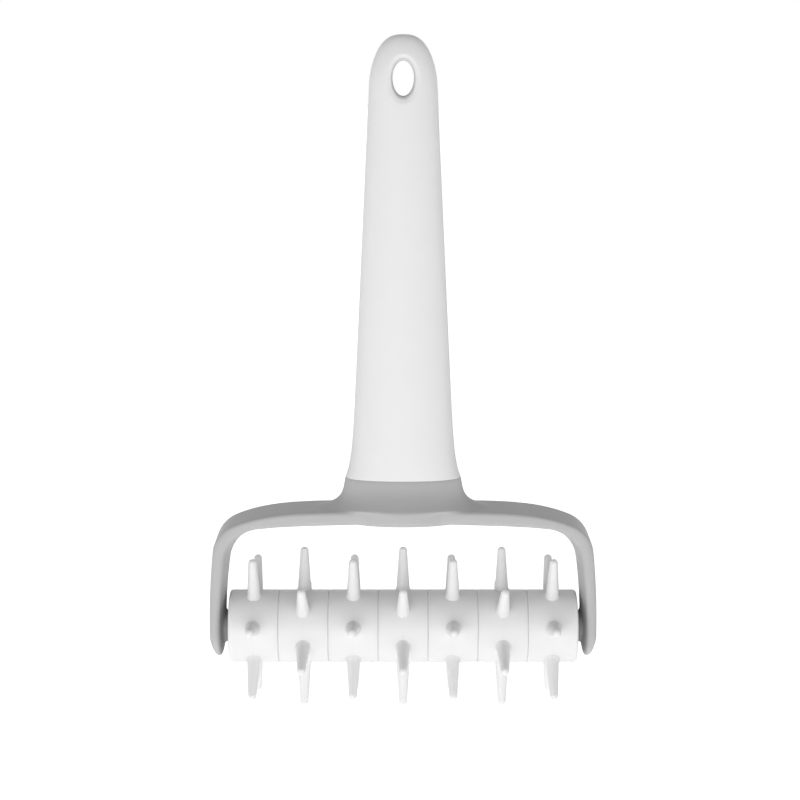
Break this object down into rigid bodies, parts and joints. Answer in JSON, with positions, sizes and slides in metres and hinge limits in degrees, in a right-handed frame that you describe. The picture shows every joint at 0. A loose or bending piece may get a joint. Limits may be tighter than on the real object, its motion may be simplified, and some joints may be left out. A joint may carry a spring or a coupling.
{
  "type": "dough docker",
  "caption": "Hand-held dough docker: a roller of spiked rings turns on an axle in a U-shaped yoke, under a tapered grip with a hanging eye.",
  "frame": {"origin": "middle of the hanging eye, halfway through the grip", "axes": "+Z from the roller up along the grip, X along the roller's axle, the front of the tool faces -Y"},
  "size_m": [0.1188, 0.048, 0.2045],
  "materials": {
    "grip_plastic": "satin moulded",
    "yoke_plastic": "satin moulded",
    "roller_plastic": "satin moulded",
    "rod_steel": "drawn rod"
  },
  "bodies": {
    "frame": {"grip": "grip_plastic", "yoke": "yoke_plastic", "axle_rod": "rod_steel"},
    "roller": {"hub_core": "roller_plastic", "end_cap_left": "roller_plastic", "end_cap_right": "roller_plastic", "spike_ring_1": "roller_plastic", "spike_ring_2": "roller_plastic", "spike_ring_3": "roller_plastic", "spike_ring_4": "roller_plastic", "spike_ring_5": "roller_plastic", "spike_ring_6": "roller_plastic", "spike_ring_7": "roller_plastic"}
  },
  "joints": [
    {"name": "roller_spin", "type": "hinge", "parent": "frame", "child": "roller", "pos_m": [0, 0, -0.1677], "axis": [1, 0, 0], "continuous": true}
  ]
}
